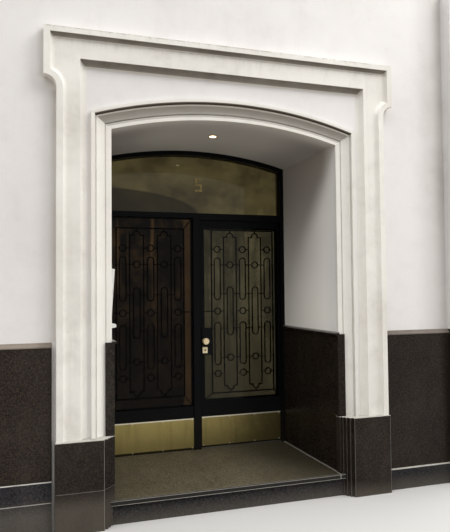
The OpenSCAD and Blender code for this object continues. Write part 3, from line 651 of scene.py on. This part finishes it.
class ENTRANCE_OT_granite(bpy.types.Operator):
    """Granite of the dados, plinths, reveals and floor"""

    bl_idname = "entrance.granite"
    bl_label = "Granite"

    def execute(self, context):
        light = tuple(context.scene.entrance_colours.granite)
        dark = toned(light, 0.62)
        cold = linear(46, 47, 51)
        dado_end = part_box("left_dado")[1].x
        base_left, base_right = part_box("left_base_course")[1].z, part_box("right_base_course")[1].z
        block_left, block_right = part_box("left_plinth_block")[1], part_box("right_plinth_block")[1]
        reveal_x, reveal_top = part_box("right_reveal_dado")[0].x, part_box("right_reveal_dado")[1].z
        front_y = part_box("porch_paving")[0].y
        right_steps = tuple(("x", place, 0.0012, 0.28) for place in PLINTH_JOINTS[1:])
        for names, first, second, gloss, dust, values in (
            (
                ("left_dado",), dark, light, 0.36, 0.10,
                {"joints": (("z", base_left + 0.002, 0.003, -1.0), ("x", dado_end, 0.004, -0.8))},
            ),
            (
                ("right_dado", "right_pier_base"), toned(dark, 0.72), toned(light, 0.72), 0.36, 0.06,
                {"joints": (("z", base_right + 0.002, 0.003, 1.0),)},
            ),
            (
                ("left_plinth_block",), toned(dark, 0.72), toned(light, 0.72), 0.38, 0.10,
                {
                    "rise": 0.20,
                    "joints": (
                        ("z", block_left.z, 0.003, 1.0), ("z", FLOOR_Z + 0.107, 0.0016, 0.4),
                        ("x", -PLINTH_JOINTS[0], 0.0016, 0.5),
                    ),
                },
            ),
            (
                ("right_plinth_block",), toned(dark, 0.76), toned(light, 0.76), 0.38, 0.08,
                {
                    "rise": 0.03,
                    "joints": (
                        ("z", block_right.z, 0.003, 1.0), ("x", PLINTH_JOINTS[0], 0.0016, 0.35),
                        *right_steps, ("x", block_right.x - 0.003, 0.0016, 0.35),
                    ),
                },
            ),
            (
                ("left_base_course",), toned(cold, 0.55), toned(cold, 0.88), 0.5, 0.16,
                {
                    "rise": 0.17,
                    "joints": (("z", base_left - 0.002, 0.003, 1.0), ("z", FLOOR_Z + 0.044, 0.003, 1.0)),
                },
            ),
            (
                ("right_base_course",), toned(cold, 0.4), toned(cold, 0.68), 0.5, 0.12,
                {"rise": 0.03, "joints": (("z", base_right - 0.002, 0.003, 1.0),)},
            ),
            (
                ("left_reveal_dado",), linear(26, 24, 21), linear(38, 35, 31), 0.5, 0.12,
                {"joints": (("z", reveal_top - 0.004, 0.006, 0.7),)},
            ),
            (
                ("right_reveal_dado",), toned(dark, 0.6), toned(light, 0.6), 0.24, 0.03,
                {
                    "shine": 0.08,
                    "joints": (("z", reveal_top - 0.003, 0.004, 0.5), ("z", FLOOR_Z + 0.002, 0.003, 0.6)),
                },
            ),
            (
                ("porch_paving",), linear(59, 55, 44), linear(88, 83, 67), 0.46, 0.12,
                {
                    "shine": 0.07, "fleck": 0.42, "fine": 1.35, "walked": front_y,
                    "joints": (
                        ("x", reveal_x + 0.012, 0.003, 0.9), ("z", FLOOR_Z - 0.036, 0.002, 0.9),
                        ("z", FLOOR_Z - 0.006, 0.002, 0.8), ("y", front_y + 0.008, 0.002, 0.5),
                    ),
                },
            ),
            (("porch_riser",), toned(cold, 0.45), toned(cold, 0.75), 0.55, 0.10, {"rise": 0.02}),
        ):
            paint(names, dark_granite(names[0] + "_granite", first, second, gloss, dust, **values))
        paint(("left_dado_ledge",), white_render("left_ledge_render", linear(128, 118, 108), 2.4))
        paint(("right_dado_ledge",), white_render("right_ledge_render", linear(112, 104, 97), 2.0))
        return {"FINISHED"}


class ENTRANCE_OT_door(bpy.types.Operator):
    """Black steel of the door screen, the leaf and the grilles"""

    bl_idname = "entrance.door"
    bl_label = "Door steel"

    def execute(self, context):
        paint(
            (
                "left_jamb", "right_jamb", "arched_door_head", "transom_bar", "door_post", "panel_foot_rail",
                "panel_glazing_bead", "leaf_frame", "leaf_glazing_bead", "hinge_pins", "hinge_knuckles",
            ),
            black_steel("door_steel", (0.0035, 0.0042, 0.0050)),
        )
        paint(("panel_grille", "leaf_grille"), black_steel("grille_steel", (0.004, 0.004, 0.0042)))
        paint(("lock_case",), black_steel("lock_steel", (0.006, 0.0066, 0.0072)))
        return {"FINISHED"}


class ENTRANCE_OT_glass(bpy.types.Operator):
    """Glass of the side panel, the leaf and the fanlight, and the number on it"""

    bl_idname = "entrance.glass"
    bl_label = "Glass"

    def execute(self, context):
        # Each glass gets painted reflections: upright bands and smears, a pale upright band on the side panel
        # and a darker oval on the fanlight
        for name, deep, pale, values in (
            (
                "panel_glass", linear(16, 14, 12), linear(64, 48, 31),
                {"reflection_streaks": 0.9, "low": 0.56, "high": 0.74, "tall": 0.6, "fine": 8.0, "bend": 1.1,
                 "strip": (-0.105, -0.02, 0.5)},
            ),
            (
                "leaf_glass", linear(40, 37, 27), linear(74, 69, 50),
                {"reflection_streaks": 0.7, "low": 0.40, "high": 0.62, "tall": 1.2, "fine": 6.0, "bend": 1.16},
            ),
            (
                "fanlight_glass", linear(44, 38, 23), linear(77, 69, 43),
                {"reflection_streaks": 0.6, "low": 0.35, "high": 0.65, "tall": 2.0, "fine": 1.6, "bend": 1.26,
                 "patch": (-0.95, 2.45, 1.0, 0.24)},
            ),
        ):
            paint((name,), glass_with_painted_reflections(name + "_tint", deep, pale, **values))
        paint(("house_number",), number_paint("house_number_paint"))
        return {"FINISHED"}


class ENTRANCE_OT_brass(bpy.types.Operator):
    """Brass kick plates, knob and keyhole block"""

    bl_idname = "entrance.brass"
    bl_label = "Brass"

    def execute(self, context):
        bright = tuple(context.scene.entrance_colours.brass)
        dull = toned(bright, 0.55)
        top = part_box("leaf_kick_plate")[1].z
        screw = worn_brass("screw_brass", linear(220, 208, 170), dull, roughness=0.3, metallic=0.4)
        for piece, plate, body in (
            ("panel_kick_screws", "panel_kick_plate", "portal"),
            ("leaf_kick_screws", "leaf_kick_plate", "door_leaf"),
        ):
            low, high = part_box(plate)
            across = np.linspace(low.x + SCREW_INSET, high.x - SCREW_INSET, SCREWS_IN_ROW)
            places = [(x, low.y, z) for x in across for z in (low.z + SCREW_INSET, high.z - SCREW_INSET)]
            obj = round_heads(piece, places, SCREW_RADIUS, SCREW_RISE)
            obj.data.materials.append(screw)
            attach(obj, body)
        panel_brass = worn_brass(
            "panel_kick_brass", bright, dull, fade=("x", -0.6, 0.6), edge=top, roughness=0.36
        )
        leaf_brass = worn_brass(
            "leaf_kick_brass", toned(bright, 0.86), toned(bright, 0.32), fade=("x", 0.0, 0.95), edge=top,
            roughness=0.36,
        )
        knob_brass = worn_brass(
            "knob_brass", linear(252, 236, 198), linear(222, 200, 152), fade=("z", 1.0, 1.4), roughness=0.26,
            metallic=0.35,
        )
        paint(("panel_kick_plate",), panel_brass)
        paint(("leaf_kick_plate",), leaf_brass)
        paint(("door_knob", "keyhole_block"), knob_brass)
        low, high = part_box("keyhole_block")
        middle = ((low.x + high.x) / 2, low.y, (low.z + high.z) / 2)
        keyhole = round_heads("keyhole", [middle], KEYHOLE_RADIUS, KEYHOLE_RISE, 20)
        keyhole.data.materials.append(black_steel("keyhole_steel", (0.003, 0.003, 0.003)))
        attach(keyhole, "door_leaf")
        return {"FINISHED"}


class ENTRANCE_OT_fittings(bpy.types.Operator):
    """Ceiling light and the box on the left reveal"""

    bl_idname = "entrance.fittings"
    bl_label = "Fittings"

    def execute(self, context):
        low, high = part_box("ceiling_light")
        middle = ((low.x + high.x) / 2, (low.y + high.y) / 2)
        paint(("ceiling_light",), lamp_face("ceiling_light_face", middle, (1.0, 0.84, 0.55), 6.5))
        paint(("intercom_box",), white_plastic("intercom_plastic"))
        return {"FINISHED"}


def seen_directly(tree):
    """1 for what the camera sees itself, through glass or mirrored; 0 for the light on matt surfaces."""
    path = add_node(tree, "ShaderNodeLightPath")
    seen = Number(tree, path.outputs["Is Camera Ray"]).most(Number(tree, path.outputs["Is Transmission Ray"]))
    return seen.most(Number(tree, path.outputs["Is Glossy Ray"]))


class ENTRANCE_OT_stage(bpy.types.Operator):
    """Floor, sky, lights and the camera at the photograph's angle"""

    bl_idname = "entrance.stage"
    bl_label = "Stage"

    def execute(self, context):
        look = context.scene.entrance_view
        self.floor(look.floor_light)
        self.sky(context, look.sky)
        self.lamps(context, look.key)
        self.camera(context, look.focal_length)
        context.scene.view_settings.view_transform = "Standard"
        return {"FINISHED"}

    def floor(self, thrown):
        """A large square sheet under the object: four corners and one face."""
        corners = np.array([(-1.0, -1.0, 0.0), (1.0, -1.0, 0.0), (1.0, 1.0, 0.0), (-1.0, 1.0, 0.0)])
        mesh = bpy.data.meshes.new("stage_floor")
        mesh.from_pydata((corners * STAGE_HALF).tolist(), [], [(0, 1, 2, 3)])
        floor = bpy.data.objects.new("stage_floor", mesh)
        bpy.context.scene.collection.objects.link(floor)
        f = Finish("stage_floor_paint")
        base = f.mix(f.noise(0.4, 2.0), linear(172, 171, 169), linear(176, 175, 173))
        base = f.mix(seen_directly(f.tree), tuple(thrown), base)
        mesh.materials.append(f.surface(base_color=base, roughness=0.9, specular_ior_level=0.1))

    def sky(self, context, strength):
        """Light from high up, as between tall walls: bright above two slopes, dim below; white to the camera.

        A direction looks over the slopes where its height is above its reach before or behind the object
        times the slope. Straight above the light is weaker, and it is a little stronger from the right.
        """
        slope, zenith_share, low_glow = 1.05, 0.35, 0.13
        world = bpy.data.worlds.new("sky")
        context.scene.world = world
        world.use_nodes = True
        tree = world.node_tree
        tree.nodes.clear()
        seen = seen_directly(tree)
        direction = add_node(tree, "ShaderNodeTexCoord").outputs["Generated"]
        parts = add_node(tree, "ShaderNodeSeparateXYZ", values={0: direction})
        right, away, height = (Number(tree, parts.outputs[k]) for k in range(3))
        over = (height - abs(away) * slope).step(-0.06, 0.14)
        zenith = height.step(0.98, 0.78) * (1.0 - zenith_share) + zenith_share
        along = 1.0 - right**4.0 * 0.6 + right * 0.16
        light = over * zenith * along * strength + height.step(-0.02, 0.05) * (strength * low_glow)
        background = add_node(
            tree, "ShaderNodeBackground",
            values={"Color": (1.0, 0.995, 0.985), "Strength": light + (1.0 - light) * seen},
        )
        add_node(tree, "ShaderNodeOutputWorld", values={"Surface": background.outputs[0]})

    def lamps(self, context, power):
        """Soft light from high on the right, and the narrow beam that the ceiling light throws down."""
        for name, place, target, size, watts, spread, colour in (
            ("key_light", (4.2, -5.0, 8.0), (0.0, 0.0, 2.4), 3.0, power, 180.0, (1.0, 0.99, 0.97)),
            (
                "porch_light", (0.006, -0.0885, 3.055), (0.05, -0.0885, 0.0), 0.05, 2.2, 80.0,
                (1.0, 0.93, 0.82),
            ),
        ):
            data = bpy.data.lights.new(name, "AREA")
            data.shape, data.size, data.energy, data.color = "SQUARE", size, watts, colour
            data.spread = math.radians(spread)
            lamp = bpy.data.objects.new(name, data)
            context.scene.collection.objects.link(lamp)
            lamp.location = place
            lamp.rotation_mode = "QUATERNION"
            lamp.rotation_quaternion = (Vector(target) - Vector(place)).to_track_quat("-Z", "Y")
            lamp.visible_glossy = False

    def camera(self, context, lens):
        """Eye at the photograph's place: turned to the right by yaw, up by pitch, and rolled a little."""
        sin_yaw, cos_yaw = math.sin(YAW), math.cos(YAW)
        forward = Vector((sin_yaw * math.cos(PITCH), cos_yaw * math.cos(PITCH), math.sin(PITCH)))
        level = Vector((cos_yaw, -sin_yaw, 0.0))
        upright = level.cross(forward)
        right = math.cos(ROLL) * level + math.sin(ROLL) * upright
        up = -math.sin(ROLL) * level + math.cos(ROLL) * upright
        data = bpy.data.cameras.new("camera")
        data.sensor_width, data.lens = SENSOR_WIDTH, lens
        data.clip_start, data.clip_end = 0.05, 200.0
        camera = bpy.data.objects.new("camera", data)
        context.scene.collection.objects.link(camera)
        place = Matrix.Translation((EYE_X, FACADE_Y - EYE_BEFORE, FLOOR_Z + EYE_OVER_FLOOR))
        camera.matrix_world = place @ Matrix((right, up, -forward)).transposed().to_4x4()
        context.scene.camera = camera


OPERATORS = (
    ENTRANCE_OT_wall, ENTRANCE_OT_surround, ENTRANCE_OT_granite, ENTRANCE_OT_door, ENTRANCE_OT_glass,
    ENTRANCE_OT_brass, ENTRANCE_OT_fittings, ENTRANCE_OT_stage,
)


class ENTRANCE_PT_panel(bpy.types.Panel):
    """Lists the steps that dress the entrance"""

    bl_idname = "ENTRANCE_PT_panel"
    bl_label = "Entrance"
    bl_space_type = "VIEW_3D"
    bl_region_type = "UI"
    bl_category = "Entrance"

    def draw(self, context):
        for group in (context.scene.entrance_colours, context.scene.entrance_view):
            for name in group.__annotations__:
                self.layout.prop(group, name)
        for operator in OPERATORS:
            self.layout.operator(operator.bl_idname)


CLASSES = (EntranceColours, EntranceView, *OPERATORS, ENTRANCE_PT_panel)


def register():
    for cls in CLASSES:
        bpy.utils.register_class(cls)
    bpy.types.Scene.entrance_colours = bpy.props.PointerProperty(type=EntranceColours)
    bpy.types.Scene.entrance_view = bpy.props.PointerProperty(type=EntranceView)


def unregister():
    del bpy.types.Scene.entrance_view
    del bpy.types.Scene.entrance_colours
    for cls in reversed(CLASSES):
        bpy.utils.unregister_class(cls)


def main():
    """Runs every step in order."""
    register()
    for operator in OPERATORS:
        group, name = operator.bl_idname.split(".")
        getattr(getattr(bpy.ops, group), name)()


if __name__ == "__main__":
    main()
